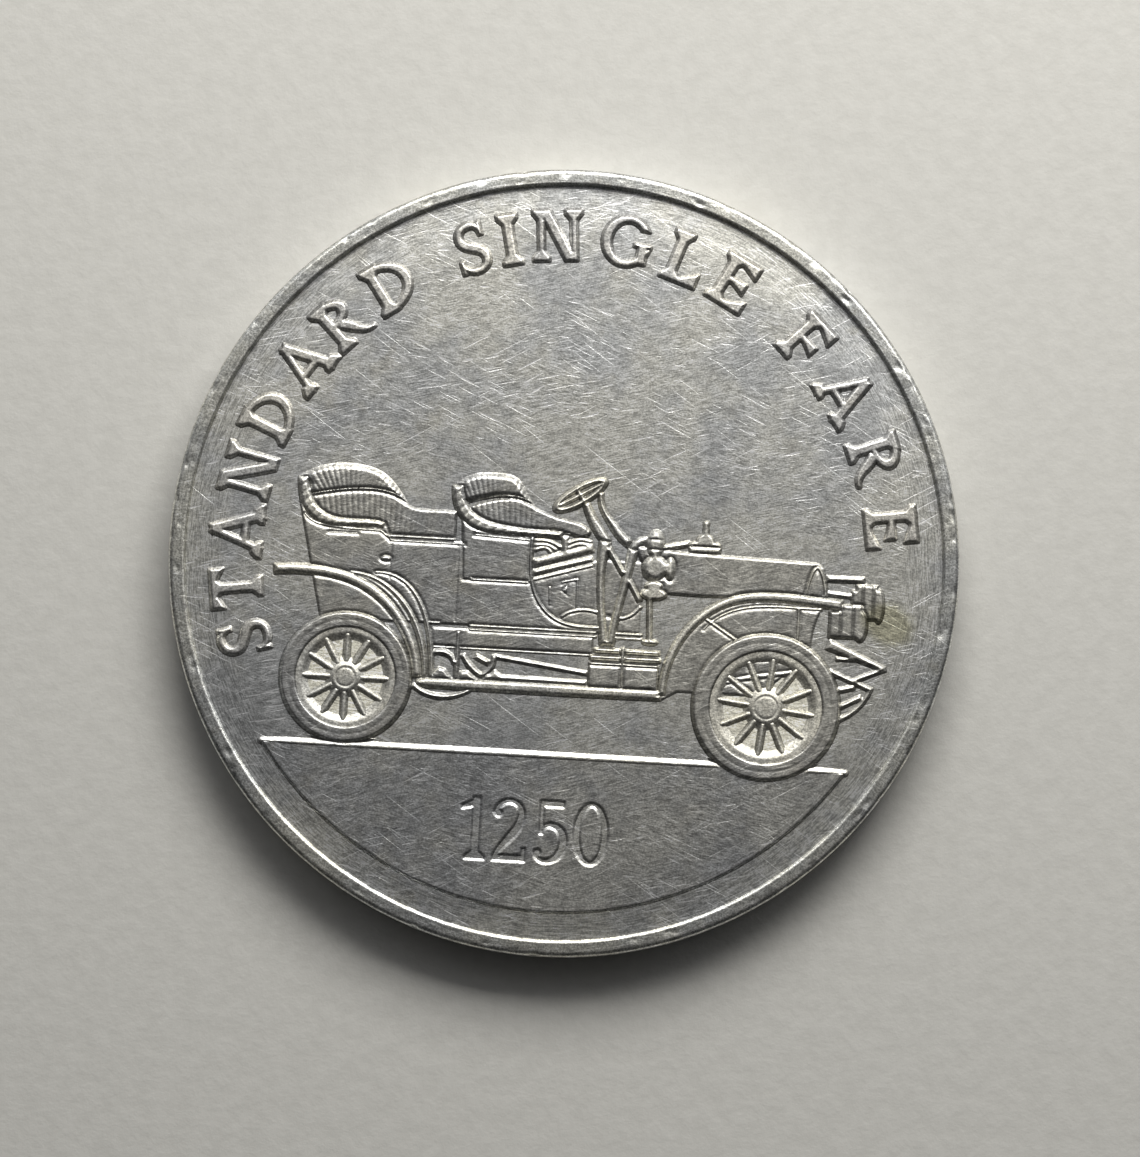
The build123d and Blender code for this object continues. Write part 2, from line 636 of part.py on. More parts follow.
def build():
    """Every node of the token as {name: solids}."""
    car = {
        **wheel("rear", REAR_AXLE, REAR_WHEEL_RADIUS, 0.24, 0),
        **wheel("front", FRONT_AXLE, FRONT_WHEEL_RADIUS, 0.26, -6.5),
        **coachwork(),
        **seats(),
        **controls(),
        **pedals(),
        **engine_end(),
        **fenders_and_board(),
        **underbody(),
    }
    nodes = raise_regions({**car, **ground()})
    core = Cylinder(RADIUS, CORE_THICKNESS, align=(Align.CENTER, Align.CENTER, Align.MIN))
    nodes["planchet"] = [Pos(0, 0, RIM_HEIGHT) * core]
    nodes["obverse_rim"] = [Pos(0, 0, FIELD_Z) * rim()]
    nodes["reverse_rim"] = turned_over(nodes["obverse_rim"])
    for word, first, last in (("STANDARD", 201, 119.5), ("SINGLE", 114, 56.5), ("FARE", 50.5, 3)):
        glyphs = text_on_arc(word, LEGEND_CAP, LEGEND_BASELINE, first, last)
        nodes[f"legend_{word.lower()}"] = raised(glyphs, LETTER_HEIGHT)
    numeral = text_on_line("1", NUMERAL_CAP, 0, -NUMERAL_CAP / 2)
    nodes["reverse_numeral"] = turned_over(raised(numeral, LETTER_HEIGHT))
    circle = ring((0, 0), CIRCLE_RADIUS, CIRCLE_RADIUS - 0.3)
    nodes["reverse_circle"] = turned_over(raised([circle], LETTER_HEIGHT))
    return nodes


def main():
    os.makedirs("parts", exist_ok=True)
    for name, solids in build().items():
        export_step(Compound(children=solids), f"parts/{name}.step")


main()
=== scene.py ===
"""The struck aluminium transit token: its relief, worn metal, light and camera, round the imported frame.

Lengths here are millimetres in the token's own frame, and MM turns them into metres when a mesh or an
object is made. Each relief piece takes its outline from the CAD node that it stands for. The struck
surface over that outline, with its sloping walls, rounded tops, pleats and mouldings, is worked out here.
"""

import math

import bpy
import numpy as np
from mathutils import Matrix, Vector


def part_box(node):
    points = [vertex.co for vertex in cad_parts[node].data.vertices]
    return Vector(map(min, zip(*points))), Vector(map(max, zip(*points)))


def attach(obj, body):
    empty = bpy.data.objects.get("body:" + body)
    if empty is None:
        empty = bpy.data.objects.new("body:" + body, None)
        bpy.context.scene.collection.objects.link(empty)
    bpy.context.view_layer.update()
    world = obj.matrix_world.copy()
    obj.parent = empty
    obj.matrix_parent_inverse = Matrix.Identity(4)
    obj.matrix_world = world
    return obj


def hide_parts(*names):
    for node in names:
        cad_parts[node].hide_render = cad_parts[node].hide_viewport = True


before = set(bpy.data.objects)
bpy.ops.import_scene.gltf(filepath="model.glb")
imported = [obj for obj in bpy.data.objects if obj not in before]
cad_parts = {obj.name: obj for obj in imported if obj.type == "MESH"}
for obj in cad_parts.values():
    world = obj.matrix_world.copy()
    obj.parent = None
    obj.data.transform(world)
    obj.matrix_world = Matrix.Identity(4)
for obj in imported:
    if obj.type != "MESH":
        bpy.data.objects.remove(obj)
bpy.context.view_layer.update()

MM = 0.001
GRID = 0.02  # spacing of the relief meshes
BLOCK = 8  # a flat stretch is drawn in blocks of this many grid cells a side
REACH = 0.45  # a depth inside an outline is not worked out beyond this
UNDER = 0.06  # how far a low piece runs on under a taller neighbour
WALL_LIMIT = 0.95  # the widest wall inside an outline, as a share of the piece's greatest depth
CREST = 0.06  # depth inside an outline at which its own detail reaches full height
SINK = 0.008  # how far the foot of a struck wall ends below the surface round it
LET_IN = 0.03  # how deep the underside of a piece is let into that surface
SEAM_SHARE = 0.45  # depth of the groove round a taller neighbour, as a share of a piece's height
SEAM_LIMIT = 0.07  # the most that such a groove is cut
SEAM_WIDTH = 0.05
SHARP = 0.42  # an outline's corner that turns by more than this, in radians, stays sharp
CURVE_STEP = 0.05  # spacing of the points on an outline's round stretches
HOLLOW_PASSES = 8  # averages that a surface is compared with, to find its hollows and edges
HOLLOW_DEPTH = 0.02  # a hollow this deep is as dark, with dirt and painted shade, as any
FOOT_SHARE = 0.45  # painted shade climbs this share of the way up a wall
FOOT_SHADE = 0.7  # how dark the painted shade at the foot of a wall is, where 1 is the darkest


def corners(node):
    """A CAD node's lowest and highest corners in millimetres."""
    low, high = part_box(node)
    return [v / MM for v in low], [v / MM for v in high]


FIELD_Z = corners("planchet")[1][2]
THICKNESS = corners("obverse_rim")[1][2]
RADIUS = corners("planchet")[1][0]
RIM_HEIGHT = THICKNESS - FIELD_Z


# ---- Outlines and depths ------------------------------------------------------------------------


def footprint(node, side):
    """The outline of a node's top (side 1) or bottom (side -1) as closed loops of corner points."""
    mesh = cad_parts[node].data
    level = corners(node)[1 if side > 0 else 0][2] * MM
    edges = set()
    for face in mesh.polygons:
        if face.normal.z * side > 0.9 and abs(face.center.z - level) < 1e-6:
            spots = [tuple(round(v / MM, 4) for v in mesh.vertices[i].co[:2]) for i in face.vertices]
            edges.update(zip(spots, spots[1:] + spots[:1]))
    following = {}
    for start, end in edges:
        if (end, start) not in edges:
            following.setdefault(start, []).append(end)
    loops = []
    while following:
        first = min(following)
        loop, spot = [first], following[first].pop()
        while spot != first:
            loop.append(spot)
            spot = following[spot].pop()
        following = {start: ends for start, ends in following.items() if ends}
        loops.append(np.array(loop))
    return loops


def rounded(loop):
    """A loop with a fine curve through each stretch whose corners turn gently."""
    before, after = np.roll(loop, 1, 0), np.roll(loop, -1, 0)
    heading = np.arctan2(*(after - loop).T[::-1])
    turn = np.abs((heading - np.roll(heading, 1) + math.pi) % (2 * math.pi) - math.pi)
    tangent = (after - before) / (np.linalg.norm(after - before, axis=1)[:, None] + 1e-9)
    points = []
    for i in range(len(loop)):
        j = (i + 1) % len(loop)
        chord = loop[j] - loop[i]
        length = np.linalg.norm(chord)
        leaving = tangent[i] * length if turn[i] < SHARP else None
        arriving = tangent[j] * length if turn[j] < SHARP else None
        if leaving is None and arriving is None:
            points.append(loop[i])
            continue
        if leaving is None:
            leaving = 2 * chord - arriving
        if arriving is None:
            arriving = 2 * chord - leaving
        for t in np.arange(0, 1, 1 / math.ceil(length / CURVE_STEP)):
            bend = (t - 2 * t**2 + t**3) * leaving + (t**3 - t**2) * arriving
            points.append(loop[i] + (3 * t**2 - 2 * t**3) * chord + bend)
    return np.array(points)


def signed_depth(loops, columns, rows):
    """Distance from each grid point to the outline, positive inside it and never more than REACH."""
    away = np.full((len(rows), len(columns)), REACH)
    crossings = np.zeros((len(rows), len(columns) + 1))
    for loop in loops:
        for (ax, ay), (bx, by) in zip(loop, np.roll(loop, -1, 0)):
            i0, i1 = np.searchsorted(columns, (min(ax, bx) - REACH, max(ax, bx) + REACH))
            j0, j1 = np.searchsorted(rows, (min(ay, by) - REACH, max(ay, by) + REACH))
            ex, ey = bx - ax, by - ay
            px, py = columns[i0:i1] - ax, rows[j0:j1, None] - ay
            along = np.clip((px * ex + py * ey) / (ex * ex + ey * ey + 1e-12), 0, 1)
            near = away[j0:j1, i0:i1]
            np.minimum(near, np.hypot(px - along * ex, py - along * ey), out=near)
            j0, j1 = np.searchsorted(rows, (min(ay, by), max(ay, by)))
            if j1 > j0:
                across = ax + (rows[j0:j1] - ay) * ex / ey
                np.add.at(crossings, (np.arange(j0, j1), np.searchsorted(columns, across)), 1)
    inside = np.cumsum(crossings, 1)[:, :-1] % 2 == 1
    return np.where(inside, away, -away)


def ease(t):
    """0 to 1 with a gentle start and end."""
    t = np.clip(t, 0, 1)
    return t * t * (3 - 2 * t)


def softened(z, passes):
    """A height field after a number of 3 by 3 averages."""
    for _ in range(passes):
        padded = np.pad(z, 1, mode="edge")
        z = (padded[:-2, 1:-1] + 2 * padded[1:-1, 1:-1] + padded[2:, 1:-1]) / 4
        padded = np.pad(z, 1, mode="edge")
        z = (padded[1:-1, :-2] + 2 * padded[1:-1, 1:-1] + padded[1:-1, 2:]) / 4
    return z


def joint_depth(own, over):
    """Depth inside the outline that a piece and its taller neighbours share."""
    near = np.maximum(own, over)
    depth = np.where(near > 0, REACH, near)
    for _ in range(int(REACH / GRID)):
        for axis in (0, 1):
            for step in (-1, 1):
                moved = np.roll(depth, step, axis)
                edge = [slice(None), slice(None)]
                edge[axis] = 0 if step > 0 else -1
                moved[tuple(edge)] = REACH
                depth = np.minimum(depth, moved + GRID)
        for down, over_step in ((1, 1), (1, -1), (-1, 1), (-1, -1)):
            moved = np.roll(depth, (down, over_step), (0, 1))
            moved[0 if down > 0 else -1] = REACH
            moved[:, 0 if over_step > 0 else -1] = REACH
            depth = np.minimum(depth, moved + GRID * math.sqrt(2))
    return np.maximum(depth, near)


# ---- Meshes -------------------------------------------------------------------------------------


def new_piece(name, points, faces, material, nodes, dirt_and_shade_level=None):
    """A smooth-shaded mesh object from points in millimetres, standing for the named CAD nodes. Its
    dirt_and_shade_level is a number for each point: above nought in hollows and at wall feet, which it
    darkens as dirt and painted shade, and below nought on raised edges, which it makes lighter."""
    mesh = bpy.data.meshes.new(name)
    sizes = np.array([len(face) for face in faces])
    mesh.vertices.add(len(points))
    mesh.vertices.foreach_set("co", (np.asarray(points) * MM).astype(np.float32).ravel())
    mesh.loops.add(int(sizes.sum()))
    mesh.loops.foreach_set("vertex_index", np.concatenate(faces).astype(np.int32))
    mesh.polygons.add(len(faces))
    mesh.polygons.foreach_set("loop_start", (np.cumsum(sizes) - sizes).astype(np.int32))
    mesh.update(calc_edges=True)
    mesh.validate()
    mesh.polygons.foreach_set("use_smooth", np.ones(len(mesh.polygons), bool))
    mesh.materials.append(material)
    values = np.zeros(len(points)) if dirt_and_shade_level is None else dirt_and_shade_level
    mesh.attributes.new("dirt_and_shade_level", "FLOAT", "POINT").data.foreach_set("value", values.astype(np.float32))
    piece = bpy.data.objects.new(name, mesh)
    bpy.context.scene.collection.objects.link(piece)
    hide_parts(*nodes)
    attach(piece, "root")
    return piece


def flat_blocks(cells, level):
    """Which grid cells belong to whole blocks that are all metal and all at one height."""
    tall, wide = (n // BLOCK * BLOCK for n in cells.shape)
    whole = cells[:tall, :wide].reshape(tall // BLOCK, BLOCK, wide // BLOCK, BLOCK).all((1, 3))
    for down in range(tall // BLOCK):
        for over in np.flatnonzero(whole[down]):
            patch = level[down * BLOCK:(down + 1) * BLOCK + 1, over * BLOCK:(over + 1) * BLOCK + 1]
            whole[down, over] = np.ptp(patch) < 1e-5
    return whole


def sheet_faces(cells, level, number):
    """The faces of one side of a piece: a quad for each cell, and one polygon for each flat block."""
    whole = flat_blocks(cells, level)
    merged = np.zeros(cells.shape, bool)
    tall, wide = whole.shape[0] * BLOCK, whole.shape[1] * BLOCK
    merged[:tall, :wide] = np.repeat(np.repeat(whole, BLOCK, 0), BLOCK, 1)
    j, i = np.nonzero(cells & ~merged)
    quads = np.stack([number[j, i], number[j, i + 1], number[j + 1, i + 1], number[j + 1, i]], 1)
    padded = np.pad(cells & ~merged, 1)
    fine = padded[:-1, :-1] | padded[1:, :-1] | padded[:-1, 1:] | padded[1:, 1:]
    empty = np.pad(~cells, 1, constant_values=True)
    rim = empty[:-1, :-1] | empty[1:, :-1] | empty[:-1, 1:] | empty[1:, 1:]
    kept = fine | rim
    kept[::BLOCK, ::BLOCK] = True
    faces = list(quads)
    for down, over in zip(*np.nonzero(whole)):
        j0, i0 = down * BLOCK, over * BLOCK
        steps = range(BLOCK)
        ring = [(j0, i0 + k) for k in steps] + [(j0 + k, i0 + BLOCK) for k in steps]
        ring += [(j0 + BLOCK, i0 + BLOCK - k) for k in steps] + [(j0 + BLOCK - k, i0) for k in steps]
        faces.append(np.array([number[spot] for spot in ring if kept[spot]]))
    return faces


def relief_piece(node, columns, rows, depth, z, shade, foot, side, material):
    """A closed mesh with height z wherever the depth passes the foot of the wall, its colour darkened by its
    painted shade.
    """
    metal = depth > -foot
    cells = metal[:-1, :-1] | metal[1:, :-1] | metal[:-1, 1:] | metal[1:, 1:]
    x, y = np.meshgrid(columns, rows)
    slope_y, slope_x = np.gradient(depth, GRID)
    steep = np.hypot(slope_x, slope_y) + 1e-9
    pull = np.where(metal, 0, -foot - depth).clip(0, 2 * GRID) / steep
    x, y = x + pull * slope_x, y + pull * slope_y
    number = np.arange(x.size).reshape(x.shape)
    base = z[metal].min() - LET_IN
    top = sheet_faces(cells, z, number)
    bottom = [face[::-1] + x.size for face in sheet_faces(cells, np.full(z.shape, base), number)]
    j, i = np.nonzero(cells)
    quads = np.stack([number[j, i], number[j, i + 1], number[j + 1, i + 1], number[j + 1, i]], 1)
    starts, ends = quads.ravel(), np.roll(quads, -1, 1).ravel()
    border = ~np.isin(starts * x.size + ends, ends * x.size + starts)
    starts, ends = starts[border], ends[border]
    walls = list(np.stack([ends, starts, starts + x.size, ends + x.size], 1))
    faces = top + bottom + walls
    height = np.concatenate([z.ravel(), np.full(z.size, base)])
    # Dirt and painted shade: the colour darkens in hollows and at wall feet; raised edges come out lighter.
    sunk = (softened(z, HOLLOW_PASSES) - z) / HOLLOW_DEPTH
    hollows = np.maximum(sunk.clip(-1, 1), shade)
    dirt_and_shade_level = np.concatenate([hollows.ravel(), np.zeros(z.size)])
    if side < 0:
        height = THICKNESS - height
        faces = [face[::-1] for face in faces]
    points = np.stack([np.tile(x.ravel(), 2), np.tile(y.ravel(), 2), height], 1)
    used = np.unique(np.concatenate(faces))
    renumber = np.zeros(len(points), np.int64)
    renumber[used] = np.arange(len(used))
    faces = [renumber[face] for face in faces]
    return new_piece(f"{node}_relief", points[used], faces, material, [node], dirt_and_shade_level[used])


def lathe(name, profile, material, node, turns=900, shape=None):
    """A closed ring turned from an (r, z) profile that runs round the metal; a profile that starts and
    ends on the axis makes a disc."""
    angles = np.linspace(0, 2 * math.pi, turns, endpoint=False)
    profile = np.array(profile, float)
    disc = profile[0][0] == 0
    ring = profile[1:-1] if disc else profile
    r = np.repeat(ring[:, 0][None], turns, 0)
    z = np.repeat(ring[:, 1][None], turns, 0)
    if shape:
        r, z = shape(r, z, angles[:, None])
    around = np.stack([r * np.cos(angles)[:, None], r * np.sin(angles)[:, None], z], 2).reshape(-1, 3)
    steps = len(ring)
    number = np.arange(turns * steps).reshape(turns, steps)
    beside = np.roll(number, -1, 0)
    last = steps - 1 if disc else steps
    faces = []
    for k in range(last):
        m = (k + 1) % steps
        faces += list(np.stack([number[:, k], beside[:, k], beside[:, m], number[:, m]], 1))
    points = around
    if disc:
        points = np.vstack([around, [0, 0, profile[0][1]], [0, 0, profile[-1][1]]])
        start, end = len(around), len(around) + 1
        faces += [np.array([start, beside[k, 0], number[k, 0]]) for k in range(turns)]
        faces += [np.array([end, number[k, -1], beside[k, -1]]) for k in range(turns)]
    return new_piece(name, points, faces, material, [node])


# ---- Materials ----------------------------------------------------------------------------------


class Graph:
    """A short way to write the nodes of a material or a world."""

    def __init__(self, owner):
        owner.use_nodes = True
        self.tree = owner.node_tree
        self.tree.nodes.clear()

    def node(self, kind, **settings):
        made = self.tree.nodes.new(kind)
        for key, value in settings.items():
            setattr(made, key, value)
        return made

    def put(self, socket, value):
        if isinstance(value, bpy.types.NodeSocket):
            self.tree.links.new(value, socket)
        else:
            socket.default_value = value

    def math(self, operation, a, b=0.0, c=0.0, clamp=False):
        made = self.node("ShaderNodeMath", operation=operation, use_clamp=clamp)
        for socket, value in zip(made.inputs, (a, b, c)):
            self.put(socket, value)
        return made.outputs[0]

    def place(self):
        """The point on the token, in millimetres."""
        scale = self.node("ShaderNodeVectorMath", operation="SCALE")
        self.tree.links.new(self.node("ShaderNodeTexCoord").outputs["Object"], scale.inputs[0])
        scale.inputs["Scale"].default_value = 1 / MM
        return scale.outputs[0]

    def away(self, place, spot):
        """Distance in millimetres from a spot on the obverse, with the reverse counted as far off."""
        made = self.node("ShaderNodeVectorMath", operation="DISTANCE")
        flat = self.node("ShaderNodeVectorMath", operation="MULTIPLY")
        self.put(flat.inputs[0], place)
        flat.inputs[1].default_value = (1, 1, 0)
        self.put(made.inputs[0], flat.outputs[0])
        made.inputs[1].default_value = (*spot, 0)
        split = self.node("ShaderNodeSeparateXYZ")
        self.put(split.inputs[0], place)
        behind = self.math("LESS_THAN", split.outputs[2], THICKNESS / 2)
        return self.math("MULTIPLY_ADD", behind, RADIUS, made.outputs["Value"])

    def mapped(self, place, degrees, scale, shift=(0, 0, 0)):
        made = self.node("ShaderNodeMapping", vector_type="POINT")
        turned = self.node("ShaderNodeVectorRotate", rotation_type="Z_AXIS")
        self.put(turned.inputs["Vector"], place)
        turned.inputs["Angle"].default_value = math.radians(-degrees)
        self.put(made.inputs["Vector"], turned.outputs[0])
        made.inputs["Scale"].default_value = scale
        made.inputs["Location"].default_value = shift
        return made.outputs[0]

    def noise(self, place, scale=1.0, detail=2.0, rough=0.5, warp=0.0):
        made = self.node("ShaderNodeTexNoise")
        self.put(made.inputs["Vector"], place)
        made.inputs["Scale"].default_value = scale
        made.inputs["Detail"].default_value = detail
        made.inputs["Roughness"].default_value = rough
        made.inputs["Distortion"].default_value = warp
        return made.outputs["Fac"]

    def between(self, value, low, high, out_low=0.0, out_high=1.0):
        made = self.node("ShaderNodeMapRange", interpolation_type="SMOOTHSTEP")
        self.put(made.inputs["Value"], value)
        limits = {"From Min": low, "From Max": high, "To Min": out_low, "To Max": out_high}
        for socket, limit in limits.items():
            made.inputs[socket].default_value = limit
        return made.outputs[0]

    def surface(self, colour, roughness, height):
        """A plain surface with this colour and roughness, bumped by a height in millimetres."""
        bumped = self.node("ShaderNodeBump")
        bumped.inputs["Strength"].default_value = 1.0
        bumped.inputs["Distance"].default_value = MM
        self.put(bumped.inputs["Height"], height)
        made = self.node("ShaderNodeBsdfPrincipled")
        self.put(made.inputs["Base Color"], colour)
        self.put(made.inputs["Roughness"], roughness)
        self.put(made.inputs["Normal"], bumped.outputs[0])
        self.tree.links.new(made.outputs[0], self.node("ShaderNodeOutputMaterial").inputs[0])
        return made

    def mix(self, share, a, b, kind="RGBA"):
        made = self.node("ShaderNodeMix", data_type=kind)
        self.put(made.inputs["Factor"], share)
        self.put(made.inputs["A"], a)
        self.put(made.inputs["B"], b)
        return made.outputs["Result"]


# Each family of scratches: its angle in degrees, how long and how wide its scratches are, how high the
# noise has to be for one, and where that noise is read.
SCRATCHES = (
    (-24, 1.0, 0.05, 0.7, (3, 1, 0)),
    (14, 0.7, 0.06, 0.69, (9, 4, 0)),
    (-4, 0.5, 0.07, 0.71, (2, 8, 0)),
    (31, 1.4, 0.045, 0.73, (5, 2, 0)),
    (-35, 2.2, 0.045, 0.74, (8, 6, 0)),
)
BORDER = (10.9, 11.6)  # the radii between which the grain turns to run round with the rim
OLIVE_SPOT = (10.7, -1.4)  # the middle of the stain by the headlamps
OLIVE_EDGE = (1.85, 2.35)
POCKET_EDGE = (1.3, 1.7)  # the radii between which a wheel's matt pocket, brightened with painted light, ends
POCKET_MATT = 0.18  # roughness that a pocket has beyond the field's
SATIN_SWING = 0.26  # how far fine satin grain swings the brightness
SPECK_SWING = 0.2
SCRATCH_GLEAM = 0.7
HOLLOW_DIRT_AND_SHADE, BRIGHTEST = 0.35, 1.25  # brightness of the deepest hollow, darkened with dirt and painted shade, and of the most raised edge
SATIN_RELIEF, SPECK_RELIEF, SCRATCH_RELIEF = 0.0016, 0.0022, -0.0012


def hairlines(graph, place, degrees, run, width, level, shift):
    """Short thin scratches at an angle: the peaks of a noise that is stretched along them."""
    field = graph.noise(graph.mapped(place, degrees, (1 / run, 1 / width, 0.2), shift), detail=0.0)
    patch = graph.noise(graph.mapped(place, degrees, (0.3, 0.6, 0.2), shift), detail=1.0)
    return graph.math("MULTIPLY", graph.between(field, level, level + 0.08), graph.between(patch, 0.45, 0.6))


def all_scratches(graph, place):
    """Every family of scratches together."""
    lines = 0.0
    for family in SCRATCHES:
        lines = graph.math("MAXIMUM", lines, hairlines(graph, place, *family))
    return lines


def streaks(graph, place, degrees, run, width, shift):
    """Fine satin grain that runs at an angle."""
    return graph.noise(graph.mapped(place, degrees, (1 / run, 1 / width, 2.0), shift), detail=2.0, rough=0.7)


def turned_place(graph, place):
    """The point as distance round the rim and distance from the middle, for marks that run with the rim."""
    split = graph.node("ShaderNodeSeparateXYZ")
    graph.put(split.inputs[0], place)
    x, y = split.outputs[0], split.outputs[1]
    radius = graph.math("SQRT", graph.math("ADD", graph.math("MULTIPLY", x, x), graph.math("MULTIPLY", y, y)))
    around = graph.node("ShaderNodeCombineXYZ")
    graph.put(around.inputs[0], graph.math("MULTIPLY", graph.math("ARCTAN2", y, x), RADIUS))
    graph.put(around.inputs[1], radius)
    return around.outputs[0], radius


def satin_grain(graph, place):
    """Grain that lies one way in some patches and another in the rest, and runs round by the rim."""
    lean = graph.between(graph.noise(place, 0.5, 1.0), 0.42, 0.58)
    down = streaks(graph, place, -10, 0.34, 0.045, (0, 0, 0))
    up = streaks(graph, place, 17, 0.4, 0.04, (7, 3, 0))
    around, radius = turned_place(graph, place)
    ring = streaks(graph, around, 0, 0.6, 0.05, (1, 5, 0))
    return graph.mix(graph.between(radius, *BORDER), graph.mix(lean, down, up, "FLOAT"), ring, "FLOAT")


def tinted(tone, red, green, blue):
    """A tone with each of its channels scaled, as a shader colour."""
    return tone[0] * red, tone[1] * green, tone[2] * blue, 1


def toned(graph, place, cloud, tone):
    """The metal's colour: cool and warm clouds, brownish patches, and one olive stain."""
    patches = graph.noise(graph.mapped(place, 0, (1, 1, 1), (4, 9, 2)), 0.55, 4.0, 0.65)
    cool, warm = tinted(tone, 0.95, 0.965, 0.99), tinted(tone, 1.04, 1.03, 0.98)
    colour = graph.mix(graph.between(cloud, 0.38, 0.62), cool, warm)
    colour = graph.mix(graph.between(patches, 0.56, 0.7, 0.0, 0.6), colour, tinted(tone, 0.86, 0.84, 0.78))
    uneven = graph.math("MULTIPLY_ADD", cloud, 2.2, graph.away(place, OLIVE_SPOT))
    return graph.mix(graph.between(uneven, *OLIVE_EDGE, 0.8, 0.0), colour, tinted(tone, 0.8, 0.77, 0.56))


def worn_metal(name, tone, brushed, grain, scratches=1.0, roughness=0.34, pockets=False):
    """Aluminium that has been struck and handled: cloudy tone, satin grain, specks and short scratches,
    darker in hollows and at wall feet with dirt and painted shade, and lighter on raised edges. With pockets,
    it is matt in the wheels, and its colour there is brighter with painted light."""
    material = bpy.data.materials.new(name)
    graph = Graph(material)
    place = graph.place()
    cloud = graph.noise(place, 0.3, 4.0, 0.6)
    specks = graph.noise(place, 15.0, 2.0, 0.7)
    mottle = graph.noise(graph.mapped(place, 8, (2.6, 5.0, 1.0), (6, 2, 5)), 1.0, 3.0, 0.65)
    satin = satin_grain(graph, place)
    lines = all_scratches(graph, place)
    colour = toned(graph, place, cloud, tone)
    matt = graph.between(cloud, 0.3, 0.7, roughness * 0.95, roughness * 1.05)
    # Painted light: inside each wheel the colour is made brighter and creamier; the added roughness is the
    # metal's own.
    for hub in ("rear_hub", "front_hub") if pockets else ():
        low, high = corners(hub)
        middle = ((low[0] + high[0]) / 2, (low[1] + high[1]) / 2)
        inside = graph.between(graph.away(place, middle), *POCKET_EDGE, 1.0, 0.0)
        colour = graph.mix(inside, colour, tinted(tone, 1.2, 1.17, 1.04))
        matt = graph.math("MULTIPLY_ADD", inside, POCKET_MATT, matt)
    swing, speck = SATIN_SWING * brushed, SPECK_SWING * grain
    grey = graph.between(satin, 0.3, 0.7, 1 - swing, 1 + swing)
    grey = graph.math("MULTIPLY", grey, graph.between(specks, 0.3, 0.7, 1 - speck, 1 + speck))
    grey = graph.math("MULTIPLY", grey, graph.between(mottle, 0.3, 0.7, 0.8, 1.2))
    grey = graph.math("MULTIPLY_ADD", lines, SCRATCH_GLEAM * scratches, grey)
    # The colour darkens in hollows and at wall feet, as dirt and painted shade, and lightens on raised edges.
    dirt_and_shade_level = graph.node("ShaderNodeAttribute", attribute_name="dirt_and_shade_level").outputs["Fac"]
    grey = graph.math("MULTIPLY", grey, graph.between(dirt_and_shade_level, 0.0, 1.0, 1.0, HOLLOW_DIRT_AND_SHADE))
    grey = graph.math("MULTIPLY", grey, graph.between(dirt_and_shade_level, -0.8, 0.0, BRIGHTEST, 1.0))
    bright = graph.node("ShaderNodeVectorMath", operation="SCALE")
    graph.put(bright.inputs[0], colour)
    graph.put(bright.inputs["Scale"], grey)
    height = graph.math("MULTIPLY", satin, SATIN_RELIEF * brushed)
    height = graph.math("MULTIPLY_ADD", specks, SPECK_RELIEF * grain, height)
    height = graph.math("MULTIPLY_ADD", lines, SCRATCH_RELIEF * scratches, height)
    surface = graph.surface(bright.outputs[0], matt, height)
    surface.inputs["Metallic"].default_value = 1.0
    return material


FIELD_METAL = worn_metal("field_aluminium", (0.7, 0.7, 0.68), 1.5, 1.3, pockets=True)
PANEL_METAL = worn_metal("panel_aluminium", (0.58, 0.58, 0.57), 1.5, 1.5)
RELIEF_METAL = worn_metal("relief_aluminium", (0.47, 0.465, 0.445), 1.6, 1.4, 0.9, roughness=0.375)
LETTER_METAL = worn_metal("letter_aluminium", (0.58, 0.57, 0.545), 0.8, 2.0, 0.3, roughness=0.4)
LUSTRE_METAL = worn_metal("lustre_aluminium", (0.52, 0.51, 0.47), 0.8, 2.0, 0.2, roughness=0.5)
POLISHED_METAL = worn_metal("polished_aluminium", (0.57, 0.56, 0.52), 1.0, 2.0, 0.3, roughness=0.42)
RIM_METAL = worn_metal("rim_aluminium", (0.63, 0.63, 0.6), 0.8, 2.0, 0.6)


# ---- Struck shapes ------------------------------------------------------------------------------


RIDGE_POWER = 0.35  # the lower it is, the flatter a ridge and the narrower the groove beside it
PLEAT_DEPTH = 0.027
FOLD_DEPTH = 0.02
FOLD_LEAN = 1.2  # how far a fold moves across for each millimetre that it rises
SEAM_DEPTH = 0.02


def ridges(u, height):
    """Rounded ridges with narrow grooves between them, one for each unit of u."""
    return height * (np.abs(np.sin(np.pi * u)) ** RIDGE_POWER - 1)


def groove(distance, width, deep):
    """A soft groove along the line where the distance is nought."""
    return -deep * np.exp(-((distance / width) ** 2))


def pleated(pitch, drop):
    """Upholstery pleats that fan out from a point below the piece by the given drop."""

    def detail(x, y, low, high):
        middle, source = (low[0] + high[0]) / 2, low[1] - drop
        return ridges(np.arctan2(x - middle, y - source) * (high[1] - source) / pitch, PLEAT_DEPTH)

    return detail


def rolled(pitch):
    """Short folds across a padded roll that runs down and to the right."""

    def detail(x, y, low, high):
        return ridges((x - FOLD_LEAN * y) / pitch, FOLD_DEPTH)

    return detail


def banded(*shares):
    """Upright grooves at shares of the piece's width."""

    def detail(x, y, low, high):
        return sum(groove(x - low[0] - share * (high[0] - low[0]), 0.04, 0.05) for share in shares)

    return detail


def lined(*shares, deep=0.05):
    """Level grooves at shares of the piece's height."""

    def detail(x, y, low, high):
        return sum(groove(y - low[1] - share * (high[1] - low[1]), 0.035, deep) for share in shares)

    return detail


